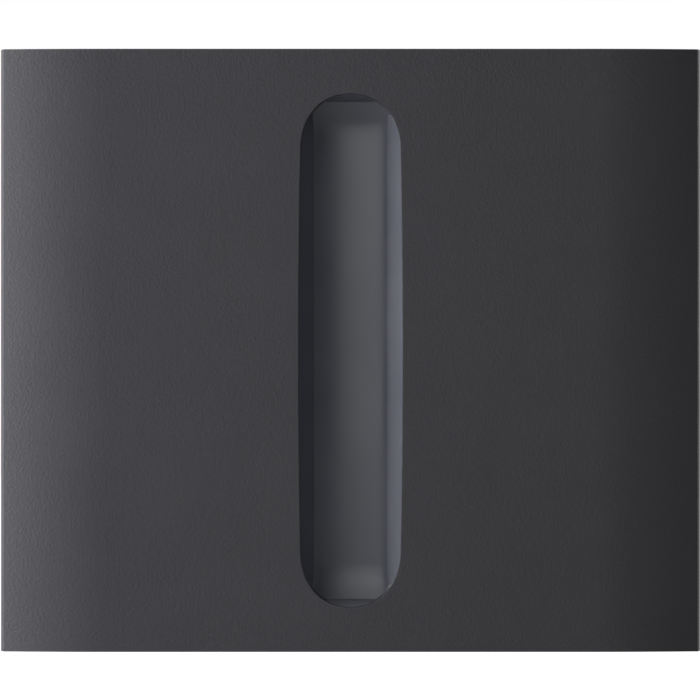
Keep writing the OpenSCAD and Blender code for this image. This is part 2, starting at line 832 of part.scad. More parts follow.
disc_at = [12.5, 5];
disc_r = 5;
disc_t = 3.4;

// Varistor disc that stands on its two leads
module varistor() {
    color([0.1, 0.3, 0.55]) union() {
        translate([disc_at[0], power_rear_y + disc_r + 0.6, disc_at[1]]) rotate([0, 90, 0])
            cylinder(r = disc_r, h = disc_t, center = true);
        for (s = [-1, 1])
            rod([disc_at[0], disc_at[1] + s * disc_r / 2], lead_r, power_rear_y, power_rear_y + 2);
    }
}

fuse_at = [3, 1.5];
fuse_r = 2;

module fuse() {
    color([0.45, 0.3, 0.2]) union() {
        translate([fuse_at[0], power_rear_y + fuse_r + 0.2, fuse_at[1]]) {
            cylinder(r = fuse_r - 0.3, h = 6, center = true);
            cylinder(r = fuse_r, h = 3.6, center = true);
        }
        for (s = [-1, 1]) rod([fuse_at[0], fuse_at[1] + s * 2.5], lead_r, power_rear_y, power_rear_y + 1);
    }
}

// ---------------------------------------------------------------- terminals

module terminal_block() {
    low = bus_z - bus_t - touch;
    high = lever_z + lever_h / 2 + 1.9;
    half = wire_pitch + chamber_w / 2 + 1.6;
    color([0.3, 0.31, 0.32]) difference() {
        block(-half, half, block_y, block_rear_y, low - 1.2, high + 1.2);
        for (i = [-1:1]) {
            block(
                i * wire_pitch - chamber_w / 2, i * wire_pitch + chamber_w / 2,
                block_y + 1.5, block_rear_y + e, low, high
            );
            rod([i * wire_pitch, bus_z - bus_t / 2], solder_hole_r, block_y - 1, block_y + 2);
        }
    }
}

// Current bar of one terminal, with its solder pin
module busbar(i) {
    x = i * wire_pitch;
    color([0.8, 0.6, 0.3]) union() {
        block(x - 1.6, x + 1.6, block_y + 1.6, block_rear_y - 1.2, bus_z - bus_t, bus_z);
        block(x - 0.5, x + 0.5, power_y - 0.6, block_y + 1.6 + e, bus_z - bus_t, bus_z);
    }
}

// Clamp spring of one terminal: it hangs from the chamber's roof and presses on the bar
module clamp_spring(i) {
    roof = lever_z + lever_h / 2 + 1.4;
    bend_y = block_rear_y - 1.9;
    color([0.8, 0.81, 0.83]) strip(
        [
            [block_y + 3, roof], [bend_y - 0.9, roof], [bend_y, roof - 0.8],
            [bend_y - 0.7, roof - 1.6], [block_y + 4.6, bus_z + 0.25]
        ],
        0.35, i * wire_pitch, 3.2
    );
}

// Release lever of one terminal: pushing it in lifts the clamp spring off the wire
module release_lever(i) {
    x = i * wire_pitch;
    color([0.95, 0.45, 0.1]) union() {
        block(
            x - lever_w / 2, x + lever_w / 2, back_y - 1.35, core_y + lever_travel + 0.1,
            lever_z - lever_h / 2, lever_z + lever_h / 2
        );
        block(
            x - lever_w / 2 - 0.3, x + lever_w / 2 + 0.3, back_y - 1.1, back_y - 0.1,
            lever_z - lever_h / 2, lever_z + lever_h / 2
        );
    }
}

// ---------------------------------------------------------------- relay

module relay_base() {
    color([0.1, 0.1, 0.11]) translate([relay_x, 0, relay_z])
        block(-relay_w / 2, relay_w / 2, power_rear_y, relay_y, -relay_l / 2, relay_l / 2);
}

module relay_cover() {
    wall = 0.6;
    color([0.15, 0.2, 0.3]) translate([relay_x, 0, relay_z]) difference() {
        block(-relay_w / 2, relay_w / 2, relay_y, relay_y + relay_h, -relay_l / 2, relay_l / 2);
        block(
            -relay_w / 2 + wall, relay_w / 2 - wall, relay_y - e, relay_y + relay_h - wall,
            -relay_l / 2 + wall, relay_l / 2 - wall
        );
    }
}

// The yoke is an L, with the round pole through the coil
yoke_half = 3.5;
yoke_top = relay_z + 8.8;
pole_r = 1.5;

module relay_yoke() {
    color([0.6, 0.6, 0.62]) union() {
        block(
            relay_x - yoke_half, relay_x + yoke_half, relay_y + 0.2, relay_y + 1.2,
            relay_z - yoke_half, yoke_top
        );
        block(
            relay_x - yoke_half, relay_x + yoke_half, relay_y + 0.2, hinge_y - 0.05,
            yoke_top - 1, yoke_top
        );
        rod([relay_x, coil_z], pole_r, relay_y + 1.1, hinge_y - 0.55);
    }
}

bobbin_y = [relay_y + 1.2, relay_y + 9.6];
bobbin_flange_r = 4.4;
bobbin_flange_t = 0.8;
bobbin_tube_r = pole_r + 0.4;

module relay_bobbin() {
    at = [relay_x, coil_z];
    color([0.85, 0.85, 0.8]) difference() {
        union() {
            rod(at, bobbin_tube_r, bobbin_y[0], bobbin_y[1]);
            rod(at, bobbin_flange_r, bobbin_y[0], bobbin_y[0] + bobbin_flange_t);
            rod(at, bobbin_flange_r, bobbin_y[1] - bobbin_flange_t, bobbin_y[1]);
        }
        rod(at, pole_r + touch, bobbin_y[0] - 1, bobbin_y[1] + 1);
    }
}

module coil_winding() {
    at = [relay_x, coil_z];
    color([0.7, 0.35, 0.15]) difference() {
        rod(
            at, bobbin_flange_r - 0.4,
            bobbin_y[0] + bobbin_flange_t + touch, bobbin_y[1] - bobbin_flange_t - touch
        );
        rod(at, bobbin_tube_r + touch, bobbin_y[0] - 1, bobbin_y[1] + 1);
    }
}

armature_t = 0.9;
contact_z = relay_z - 7.5;
contact_r = 1;
contact_h = 0.65;
contact_gap = 0.9;

module relay_armature() {
    color([0.62, 0.62, 0.64])
        block(relay_x - 3, relay_x + 3, hinge_y, hinge_y + armature_t, relay_z - 3, yoke_top + 0.1);
}

// Contact blade riveted to the armature
module moving_contact() {
    top = hinge_y + armature_t;
    color([0.8, 0.6, 0.35]) union() {
        block(relay_x - 1.5, relay_x + 1.5, top, top + 0.2, relay_z - 8.5, relay_z + 6);
        rod([relay_x, contact_z], contact_r, top - contact_h, top + 0.1);
        for (z = [0, 4]) rod([relay_x, relay_z + z], 0.6, top + 0.1, top + 0.4);
    }
}

module fixed_contact() {
    arm_y = hinge_y + armature_t - contact_h - contact_gap - 0.6;
    color([0.8, 0.6, 0.35]) union() {
        block(relay_x - 1.5, relay_x + 1.5, relay_y, arm_y, relay_z - 9.3, relay_z - 8.9);
        block(relay_x - 1.5, relay_x + 1.5, arm_y - 0.3, arm_y, relay_z - 9.3, relay_z - 6.4);
        rod([relay_x, contact_z], contact_r, arm_y - 0.1, arm_y + 0.6);
    }
}

// ---------------------------------------------------------------- one node at a time

key_cover();
groove_insert();
light_guide();
key_carrier();
cover_frame();
support_plate();
tray();
pivot_pins();
control_board();
status_lamps();
radio_shield();
header();
header_pins();
switch_upper();
switch_lower();
switch_pairing();
stem_upper();
stem_lower();
pairing_button();
stem_spring_upper();
stem_spring_lower();
pairing_spring();
front_shell();
rear_shell();
power_board();
socket();
transformer_core();
transformer_winding();
film_capacitor();
capacitor();
varistor();
fuse();
terminal_block();
for (i = [1:3]) {
    busbar(i - 2);
    clamp_spring(i - 2);
    release_lever(i - 2);
}
relay_base();
relay_cover();
relay_yoke();
relay_bobbin();
coil_winding();
relay_armature();
moving_contact();
fixed_contact();
insert_screws();
shell_screws();
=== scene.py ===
# %% [markdown]
# # A wall light switch, one section of an upright row
#
# The CAD model fixes every size and every moving piece. This lesson gives it its looks: it makes the
# visible shells with their small rounds, gives each finish its own procedural material, and lights the part
# in a small studio.

import json
import math

import bmesh
import bpy
import numpy as np
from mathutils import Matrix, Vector


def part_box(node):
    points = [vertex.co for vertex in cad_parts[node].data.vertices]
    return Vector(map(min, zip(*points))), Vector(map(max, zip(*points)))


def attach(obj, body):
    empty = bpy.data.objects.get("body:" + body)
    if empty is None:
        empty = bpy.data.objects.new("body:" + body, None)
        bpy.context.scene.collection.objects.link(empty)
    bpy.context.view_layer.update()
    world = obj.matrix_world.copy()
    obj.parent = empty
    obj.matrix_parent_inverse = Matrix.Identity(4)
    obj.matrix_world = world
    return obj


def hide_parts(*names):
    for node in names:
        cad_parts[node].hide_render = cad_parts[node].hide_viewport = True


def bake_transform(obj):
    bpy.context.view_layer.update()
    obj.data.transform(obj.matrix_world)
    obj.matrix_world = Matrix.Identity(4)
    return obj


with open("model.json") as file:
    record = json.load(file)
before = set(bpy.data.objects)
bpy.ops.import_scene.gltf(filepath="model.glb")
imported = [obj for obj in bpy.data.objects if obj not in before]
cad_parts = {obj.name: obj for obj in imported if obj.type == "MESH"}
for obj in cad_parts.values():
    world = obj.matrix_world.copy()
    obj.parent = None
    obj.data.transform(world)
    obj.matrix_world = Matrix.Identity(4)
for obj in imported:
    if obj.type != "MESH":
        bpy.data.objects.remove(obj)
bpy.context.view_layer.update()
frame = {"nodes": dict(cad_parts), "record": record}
nodes = frame["nodes"]
body_of = {n: body for body, members in frame["record"]["behaviour"]["bodies"].items() for n in members}
slot_of = {row["node"]: row["material_slot"] for row in frame["record"]["subparts"]}

# %% [markdown]
# ## Sizes
# Blender works in metres. The outer sizes are read from the CAD boxes, so nothing is fitted by eye. The few
# shape values that a box can't give, such as the crown's width, repeat the design's own values.

# %% Sizes of the key, read from the frame
mm = 0.001

cover_low, cover_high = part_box("key_cover")
insert_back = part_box("groove_insert")[1].y

half_w = cover_high.x
half_h = cover_high.z
face_y = cover_low.y
skirt_y = cover_high.y

skirt_t = 1.8 * mm
face_t = 2.0 * mm
bevel_w = 0.35 * mm
bevel_d = 1.6 * mm
crown_w = 12 * mm
crown_d = 1.5 * mm
flange_y = face_y + face_t
print(f"key {2000 * half_w:.1f} x {2000 * half_h:.1f} mm, face at {1000 * face_y:.1f} mm")

# %% [markdown]
# ## A grid of points becomes a mesh
# Most moulded shapes are one surface with two parameters: a closed ring of points, and the rows that the
# ring runs through. The whole grid is worked out as one array, and one helper turns it into faces. Where
# the rows close on themselves the shape is a tube with no ends. Where a row shrinks to a line, merging its
# doubles closes the seam.

# %% From a grid to a mesh
def ring_mesh(name, grid, close_rows=False, sharp_deg=35):
    """Rows of closed rings, as an array of rows x points x 3. Each quad joins points k and k + 1 of two
    rows, and the last point joins the first."""
    rows, count = grid.shape[:2]
    here = np.arange(rows if close_rows else rows - 1)[:, None]
    k = np.arange(count)[None, :]
    after, beside = (here + 1) % rows, (k + 1) % count
    quads = np.stack(np.broadcast_arrays(here * count + k, here * count + beside,
                                         after * count + beside, after * count + k), -1).reshape(-1, 4)
    mesh = bpy.data.meshes.new(name)
    mesh.from_pydata(grid.reshape(-1, 3).tolist(), [], quads.tolist())
    return finish_mesh(mesh, sharp_deg)


def finish_mesh(mesh, sharp_deg=35, merge=1e-7):
    """Merges doubles, points every face outwards, and shades smooth up to the given angle."""
    shape = bmesh.new()
    shape.from_mesh(mesh)
    bmesh.ops.remove_doubles(shape, verts=shape.verts, dist=merge)
    bmesh.ops.dissolve_degenerate(shape, edges=shape.edges, dist=merge)
    bmesh.ops.recalc_face_normals(shape, faces=shape.faces)
    shape.to_mesh(mesh)
    shape.free()
    mesh.shade_smooth()
    mesh.set_sharp_from_angle(angle=math.radians(sharp_deg))
    return mesh


def piece(name, mesh, node):
    """Puts a mesh into the scene as the piece that stands for a CAD node."""
    made = bpy.data.objects.new(name, mesh)
    bpy.context.scene.collection.objects.link(made)
    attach(made, body_of[node])
    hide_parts(node)
    slot_pieces.setdefault(slot_of[node], []).append(made)
    return made


slot_pieces = {}

# %% [markdown]
# ## The outline of the finger groove
# Each long side of the groove bulges a little, and each end is a little squarer than half an ellipse. The
# same outline cuts the cover and shapes the insert, so the two always fit.

# %% Outline of the groove
groove_half_w = 5.9 * mm
groove_bow = 0.23 * mm
groove_end = 6.8 * mm
groove_half_l = half_h - 5.25 * mm
straight = groove_half_l - groove_end
end_power = 2.2

side_count, end_count = 96, 84
ring_count = 2 * (side_count + end_count)


def groove_ring(inset=0.0):
    """Right side, top end, left side, bottom end. A side's x is the half width plus the bow times
    1 - (z / straight)^2. An end is a cos^(2/p) t, b sin^(2/p) t beyond the straight, a little squarer than
    an ellipse."""
    z = np.linspace(-straight, straight, side_count, endpoint=False)
    x = groove_half_w + groove_bow * (1 - (z / straight) ** 2) - inset
    t = np.linspace(0, math.pi, end_count, endpoint=False)
    power = 2 / end_power
    end_x = (groove_half_w - inset) * np.sign(np.cos(t)) * np.abs(np.cos(t)) ** power
    end_z = straight + (groove_end - inset) * np.sin(t) ** power
    return np.concatenate([np.stack([x, z], 1), np.stack([end_x, end_z], 1),
                           np.stack([-x, -z], 1), np.stack([-end_x, -end_z], 1)])


def plate_ring(half_x, half_z):
    """A rectangle whose points pair with those of the groove's ring: side with side, and end with end."""
    z = np.linspace(-half_z, half_z, side_count, endpoint=False)
    t = np.linspace(0, math.pi, end_count, endpoint=False)
    top_x = half_x * np.cos(t)
    right, top = np.full(side_count, half_x), np.full(end_count, half_z)
    return np.concatenate([np.stack([right, z], 1), np.stack([top_x, top], 1),
                           np.stack([-right, -z], 1), np.stack([-top_x, -top], 1)])


print("groove", round(2000 * (groove_half_w + groove_bow), 2), "x", round(2000 * groove_half_l, 2), "mm")

# %% [markdown]
# ## The key's cover
# The cover is one moulding: a face that falls back a little towards its left and right edges, a bevel, a
# skirt, and the opening for the groove. Its section is a closed profile, so carrying that profile round the
# opening gives the whole shape as one surface with no ends.

# %% The cover as a profile carried round the opening
crown_r = (crown_w ** 2 + crown_d ** 2) / (2 * crown_d)
crown_x = half_w - bevel_w - crown_w


def crown(x):
    """Flat in the middle, then an arc of radius (w^2 + d^2) / 2d that has fallen back by d at the edge."""
    beyond = np.clip(np.abs(x) - crown_x, 0, crown_w)
    return face_y + crown_r - np.sqrt(crown_r ** 2 - beyond ** 2)


def at_depth(ring, y):
    """Puts a ring of x and z at a depth, which is one number or one for each point."""
    return np.stack([ring[:, 0], np.broadcast_to(y, len(ring)), ring[:, 1]], 1)


opening = groove_ring()
front_edge = plate_ring(half_w - bevel_w, half_h)
outside = plate_ring(half_w, half_h)
inside = plate_ring(half_w - skirt_t, half_h - skirt_t)

face_row_count, back_row_count = 44, 8
bevel_end = face_y + crown_d + bevel_d

face_rows = [opening + (front_edge - opening) * v for v in np.linspace(0, 1, face_row_count)]
cover_rows = [at_depth(row, crown(row[:, 0])) for row in face_rows]
cover_rows += [at_depth(outside, bevel_end), at_depth(outside, skirt_y), at_depth(inside, skirt_y)]
back_shares = np.linspace(0, 1, back_row_count)
cover_rows += [at_depth(inside + (opening - inside) * v, flange_y) for v in back_shares]
cover_mesh = ring_mesh("key_cover_shell", np.array(cover_rows), close_rows=True)

# %% [markdown]
# Four snap legs behind the face hold the key's carrier. Each is a hooked profile carried across its width:
# a straight leg with a barb on its outer side, and a sloping nose that lets the carrier ride over it. All
# four come from the same profile, turned over for the lower pair, and join the cover's own mesh because the
# mould makes them in one shot.

# %% Four snap legs from one hooked profile
leg_x, leg_z = 22 * mm, 24 * mm
leg_w, leg_t, leg_l = 6 * mm, 1.2 * mm, 3.1 * mm
leg_root = 0.3 * mm
barb, barb_l, nose = 0.5 * mm, 0.85 * mm, 0.4 * mm

hook = np.array([(-leg_root, 0), (leg_l, 0), (leg_l, leg_t), (leg_l - nose, leg_t + barb),
                 (leg_l - barb_l, leg_t + barb), (leg_l - barb_l, leg_t), (-leg_root, leg_t)])
hook_centre = np.array([leg_l - barb_l / 2, leg_t / 2])


def leg_mesh(sx, sz):
    """Four rows across the width: a centre point, the hook, the hook and a centre point. A point u, v of
    the hook lies u behind the face's rear side and v outwards from the leg's inner side."""
    rows = []
    for share, outline in ((-0.5, 0), (-0.5, 1), (0.5, 1), (0.5, 0)):
        uv = hook_centre + (hook - hook_centre) * outline
        x = np.full(len(uv), sx * leg_x + share * leg_w)
        rows.append(np.stack([x, flange_y + uv[:, 0], sz * (leg_z + uv[:, 1])], 1))
    return ring_mesh("leg", np.array(rows))


def joined(name, meshes):
    """One mesh with the faces of all the given meshes."""
    shape = bmesh.new()
    for mesh in meshes:
        shape.from_mesh(mesh)
    made = bpy.data.meshes.new(name)
    shape.to_mesh(made)
    shape.free()
    for mesh in meshes:
        bpy.data.meshes.remove(mesh)
    return finish_mesh(made)


leg_meshes = [leg_mesh(sx, sz) for sx in (-1, 1) for sz in (-1, 1)]
key_cover = piece("key_cover_shell", joined("key_cover_with_legs", [cover_mesh] + leg_meshes), "key_cover")
print("legs:", len(leg_meshes))

# %% [markdown]
# A real mould leaves no knife edge. A bevel modifier rounds the cover's sharp edges by a tenth of a
# millimetre, which is enough to catch the light.

# %% Small rounds on the edges
def round_edges(made, width, angle_deg=30, segments=2):
    """Adds a bevel that rounds every edge sharper than the angle."""
    bevel = made.modifiers.new("small_round", "BEVEL")
    bevel.width = width
    bevel.segments = segments
    bevel.limit_method = "ANGLE"
    bevel.angle_limit = math.radians(angle_deg)
    bevel.harden_normals = True
    return made


round_edges(key_cover, 0.1 * mm)
print("cover:", len(key_cover.data.polygons), "faces")

# %% [markdown]
# ## The groove's insert
# The insert is smooth, where the cover is grained. Behind the rounded opening it is a straight trough: two
# side walls and two end walls that slope like a drafted mould, down to a dished floor. So the walls look
# like crescents, widest at the middle of each side and gone at the corners, where the floor runs up to the
# opening. The depth is the least of the walls' depth and the floor's. Halving finds where the two meet, and
# a row of points lies on that line, so the foot of the walls is crisp.

# %% Depth of the groove
groove_depth = 3.0 * mm
side_slope = 1.45
end_slope = 2.6
rim = 0.02 * mm
dish = 0.16
curl = 0.2
end_rise = 0.3
rise_l = 5 * mm
lip = face_t - 0.15 * mm
lip_slope = 4


def floor_depth(x, z):
    """With a = (x / half width)^2 and b = (distance into the end / its length)^2, the depth is
    full depth x (1 - dish a - curl a^4) x (1 - rise b)."""
    across = (x / groove_half_w) ** 2
    into_end = np.clip((np.abs(z) - groove_half_l + rise_l) / rise_l, 0, None)
    return groove_depth * (1 - dish * across - curl * across ** 4) * (1 - end_rise * into_end ** 2)


def wall_depth(x, z, inset):
    """The least of three: the side slope times the way in from the side, the end slope times the way in
    from the end, and the lip plus its slope times the inset."""
    side = side_slope * (groove_half_w + groove_bow - np.abs(x))
    end = end_slope * (groove_half_l - np.abs(z))
    return np.minimum(np.minimum(side, end), lip + lip_slope * inset)


# %% The insert as rows from its middle line to its rim, then round its flange to the back
clearance = 0.03 * mm
flange_w, flange_t = 1.5 * mm, 0.8 * mm
tub_wall = 0.6 * mm
wall_row_count, floor_row_count = 12, 49
near_enough = 1e-6

edge = groove_ring(clearance)
middle = np.stack([np.zeros(ring_count), np.clip(edge[:, 1], -straight, straight)], 1)


def inwards(share):
    """A share of the way from the edge to the middle line, and how far in that is."""
    ring = edge + (middle - edge) * share[:, None]
    return ring[:, 0], ring[:, 1], np.linalg.norm(ring - edge, axis=1)


foot, step = np.zeros(ring_count), 0.5
while step > near_enough:
    x, z, inset = inwards(foot + step)
    foot = foot + step * (wall_depth(x, z, inset) < floor_depth(x, z))
    step /= 2

shares = [foot * v for v in np.linspace(0, 1, wall_row_count, endpoint=False)]
shares += [foot + (1 - foot) * v for v in np.linspace(0, 1, floor_row_count)]
insert_rows = []
for share in shares[::-1]:
    x, z, inset = inwards(share)
    depth = np.clip(np.minimum(wall_depth(x, z, inset), floor_depth(x, z)), rim, None)
    insert_rows.append(at_depth(np.stack([x, z], 1), face_y + depth))
flange_back = flange_y + flange_t
wide, tub = groove_ring(-flange_w), groove_ring(tub_wall)
insert_rows += [at_depth(edge, flange_y), at_depth(wide, flange_y), at_depth(wide, flange_back),
                at_depth(tub, flange_back), at_depth(tub, insert_back)]
tub_middle = np.stack([np.zeros(ring_count), np.clip(tub[:, 1], -straight, straight)], 1)
insert_rows += [at_depth(tub + (tub_middle - tub) * s, insert_back) for s in (0.5, 1.0)]
insert_mesh = ring_mesh("groove_insert_shell", np.array(insert_rows))
groove_insert = piece("groove_insert_shell", insert_mesh, "groove_insert")
print("insert:", len(groove_insert.data.polygons), "faces")

# %% [markdown]
# ## Rounds on the other mouldings
# The other visible pieces already have the right shape in CAD, but their edges are knife sharp. A copy of
# each is merged, its flat areas are joined, and the same small round is put on its edges. The CAD node
# itself is hidden.

# %% Rounded copies of CAD nodes
def merged_copy(node, ending, flat_deg=0.5, sharp_deg=40):
    """A copy of a node's mesh with doubles merged, and with faces joined that lie flatter than the angle."""
    mesh = nodes[node].data.copy()
    mesh.materials.clear()
    mesh.name = node + ending
    shape = bmesh.new()
    shape.from_mesh(mesh)
    bmesh.ops.remove_doubles(shape, verts=shape.verts, dist=1e-6)
    if flat_deg:
        bmesh.ops.dissolve_limit(shape, angle_limit=math.radians(flat_deg), verts=shape.verts,
                                 edges=shape.edges)
    shape.to_mesh(mesh)
    shape.free()
    mesh.shade_smooth()
    mesh.set_sharp_from_angle(angle=math.radians(sharp_deg))
    return mesh


def rounded_copy(node, width, angle_deg=40):
    """A merged copy of a node, rounded along its edges."""
    mesh = merged_copy(node, "_rounded", sharp_deg=angle_deg)
    return round_edges(piece(node + "_rounded", mesh, node), width, angle_deg)


edge_rounds = {
    "cover_frame": 0.15 * mm, "support_plate": 0.08 * mm, "front_shell": 0.25 * mm, "rear_shell": 0.25 * mm,
    "release_lever_1": 0.15 * mm, "release_lever_2": 0.15 * mm, "release_lever_3": 0.15 * mm,
    "shell_screws": 0.08 * mm,
}
for node, width in edge_rounds.items():
    rounded_copy(node, width)
print(len(edge_rounds), "rounded copies")

# %% [markdown]
# ## Spring copies
# Three coil springs shorten as their stems go in, and three clamp springs are bent over by their release
# levers. A stiff mesh would be cut through by the moving piece. Each spring here is a merged copy of its
# node with its place baked in, and the node itself is hidden. The copies are stiff: they neither follow the
# moving piece nor bend.

# %% Spring copies of CAD nodes
def giving_copy(node):
    """A merged copy of a node with its place baked in, which takes the node's finish; the node is hidden."""
    made = bpy.data.objects.new(node + "_giving", merged_copy(node, "_giving", flat_deg=0))
    bpy.context.scene.collection.objects.link(made)
    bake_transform(made)
    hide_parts(node)
    slot_pieces.setdefault(slot_of[node], []).append(made)


coil_springs = {"stem_spring_upper": "stem_up", "stem_spring_lower": "stem_low", "pairing_spring": "pairing"}
for node, moving in coil_springs.items():
    low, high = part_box(node)
    giving_copy(node)

# The clamp springs hang from their roof. Each is copied the same way, and no part of it goes with the lever
terminals = (1, 2, 3)
for i in terminals:
    low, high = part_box(f"clamp_spring_{i}")
    giving_copy(f"clamp_spring_{i}")
print(len(coil_springs) + len(terminals), "springs that give")

# %% [markdown]
# ## A short way to write shaders
# Every material below is a tree of nodes. One helper adds a node, sets its options and joins or fills its
# inputs, and another starts a node group with named inputs and outputs.

# %% Helpers for node trees
def add(tree, kind, values=None, **options):
    """Adds a shader node. values maps an input's name or number to a number, or to another node's output."""
    made = tree.nodes.new("ShaderNode" + kind)
    for key, value in options.items():
        setattr(made, key, value)
    for key, value in (values or {}).items():
        if isinstance(value, bpy.types.NodeSocket):
            tree.links.new(value, made.inputs[key])
        else:
            made.inputs[key].default_value = value
    return made


def maths(tree, operation, a, b=0.0):
    """One Math node, and returns its output."""
    return add(tree, "Math", {0: a, 1: b}, operation=operation).outputs[0]


def new_group(name, inputs, outputs):
    """Starts a node group. inputs maps a name to its default, and outputs maps a name to its kind of
    socket."""
    tree = bpy.data.node_groups.new(name, "ShaderNodeTree")
    for label, default in inputs.items():
        kind = "NodeSocketColor" if isinstance(default, tuple) else "NodeSocketFloat"
        tree.interface.new_socket(label, in_out="INPUT", socket_type=kind).default_value = default
    for label, kind in outputs.items():
        tree.interface.new_socket(label, in_out="OUTPUT", socket_type=kind)
    return tree, tree.nodes.new("NodeGroupInput").outputs, tree.nodes.new("NodeGroupOutput").inputs


def use_group(tree, group, **values):
    """Places a node group in a material, with its inputs' names written with underscores."""
    made = tree.nodes.new("ShaderNodeGroup")
    made.node_tree = group
    for key, value in values.items():
        socket = made.inputs[key.replace("_", " ")]
        if isinstance(value, bpy.types.NodeSocket):
            tree.links.new(value, socket)
        else:
            socket.default_value = value
    return made.outputs


def scale_for(tree, size_mm):
    """A texture's scale is how many times it fits in a metre: 1000 over its size in millimetres."""
    return maths(tree, "DIVIDE", 1000.0, size_mm)


# %% [markdown]
# ## Effects that several finishes share
# Moulded grain is a field of small soft bumps from an eroded mould. Mottling is the faint unevenness of any
# real surface. Smudges vary the gloss. Wear lightens the edges that hands and tools touch. Drawing lines
# run along rolled or drawn metal.

# %% Moulded grain
grain, given, out = new_group("moulded_grain", {"Size": 0.4, "Fineness": 0.35}, {"Height": "NodeSocketFloat"})
place = add(grain, "TexCoord").outputs["Object"]
coarse = add(grain, "TexNoise", {"Vector": place, "Scale": scale_for(grain, given["Size"]), "Detail": 1.0,
                                 "Roughness": 0.4}).outputs["Fac"]
fine_size = maths(grain, "MULTIPLY", given["Size"], 0.45)
fine = add(grain, "TexNoise", {"Vector": place, "Scale": scale_for(grain, fine_size), "Detail": 1.0,
                               "Roughness": 0.5}).outputs["Fac"]
mixed = add(grain, "Mix", {0: given["Fineness"], 2: coarse, 3: fine}, data_type="FLOAT")
grain.links.new(mixed.outputs[0], out["Height"])

# %% Mottling of a colour
mottle, given, out = new_group("mottling", {"Colour": (0.5, 0.5, 0.5, 1.0), "Amount": 0.1, "Size": 5.0},
                               {"Colour": "NodeSocketColor"})
place = add(mottle, "TexCoord").outputs["Object"]
cloud = add(mottle, "TexNoise", {"Vector": place, "Scale": scale_for(mottle, given["Size"]), "Detail": 4.0})
low = maths(mottle, "SUBTRACT", 1.0, given["Amount"])
high = maths(mottle, "ADD", 1.0, given["Amount"])
factor = add(mottle, "MapRange", {"Value": cloud.outputs["Fac"], "From Min": 0.3, "From Max": 0.7,
                                  "To Min": low, "To Max": high}).outputs[0]
shaded = add(mottle, "VectorMath", {0: given["Colour"], 3: factor}, operation="SCALE")
mottle.links.new(shaded.outputs[0], out["Colour"])

# %% Smudges in the gloss
smudge, given, out = new_group("smudges", {"Roughness": 0.5, "Variation": 0.05, "Size": 12.0},
                               {"Roughness": "NodeSocketFloat"})
place = add(smudge, "TexCoord").outputs["Object"]
cloud = add(smudge, "TexNoise", {"Vector": place, "Scale": scale_for(smudge, given["Size"]), "Detail": 3.0})
low = maths(smudge, "SUBTRACT", given["Roughness"], given["Variation"])
high = maths(smudge, "ADD", given["Roughness"], given["Variation"])
varied = add(smudge, "MapRange", {"Value": cloud.outputs["Fac"], "From Min": 0.3, "From Max": 0.7,
                                  "To Min": low, "To Max": high}).outputs[0]
smudge.links.new(varied, out["Roughness"])

# %% Wear along edges
wear, given, out = new_group("edge_wear", {"Width": 0.2, "Amount": 0.5}, {"Mask": "NodeSocketFloat"})
radius = maths(wear, "MULTIPLY", given["Width"], mm)
bent = add(wear, "Bevel", {"Radius": radius}, samples=4).outputs["Normal"]
straight_on = add(wear, "NewGeometry").outputs["Normal"]
along = add(wear, "VectorMath", {0: bent, 1: straight_on}, operation="DOT_PRODUCT").outputs["Value"]
turned = add(wear, "MapRange", {"Value": along, "From Min": 0.99, "From Max": 0.85, "To Min": 0.0,
                                "To Max": 1.0}).outputs[0]
place = add(wear, "TexCoord").outputs["Object"]
patchy = add(wear, "TexNoise", {"Vector": place, "Scale": 900.0, "Detail": 3.0}).outputs["Fac"]
patches = add(wear, "MapRange", {"Value": patchy, "From Min": 0.35, "From Max": 0.65}).outputs[0]
mask = maths(wear, "MULTIPLY", maths(wear, "MULTIPLY", turned, patches), given["Amount"])
wear.links.new(mask, out["Mask"])

# %% Drawing lines on metal
lines, given, out = new_group("drawing_lines", {"Size": 0.15, "Stretch": 30.0},
                              {"Height": "NodeSocketFloat", "Shade": "NodeSocketFloat"})
place = add(lines, "TexCoord").outputs["Object"]
across = maths(lines, "DIVIDE", 1.0, given["Stretch"])
stretch = add(lines, "CombineXYZ", {0: across, 1: 1.0, 2: 1.0}).outputs[0]
drawn = add(lines, "VectorMath", {0: place, 1: stretch}, operation="MULTIPLY").outputs[0]
streaks = add(lines, "TexNoise", {"Vector": drawn, "Scale": scale_for(lines, given["Size"]), "Detail": 2.0})
lines.links.new(streaks.outputs["Fac"], out["Height"])
shade = add(lines, "MapRange", {"Value": streaks.outputs["Fac"], "From Min": 0.3, "From Max": 0.7,
                                "To Min": 0.85, "To Max": 1.1}).outputs[0]
lines.links.new(shade, out["Shade"])
print("shared effects:", [g.name for g in bpy.data.node_groups])

# %% [markdown]
# ## Plastics
# One function makes every plastic. The colour is mottled and a little lighter where an edge is worn, the
# gloss has smudges, and the grain is a bump with a depth in thousandths of a millimetre. The face's grain
# is deep, the inner mouldings' is shallow.

# %% A plastic
materials = {}


def new_material(name):
    """A material with a fresh Principled shader, its tree and the shader node."""
    material = bpy.data.materials.new(name)
    material.use_nodes = True
    tree = material.node_tree
    shader = tree.nodes["Principled BSDF"]
    materials[name] = material
    return tree, shader


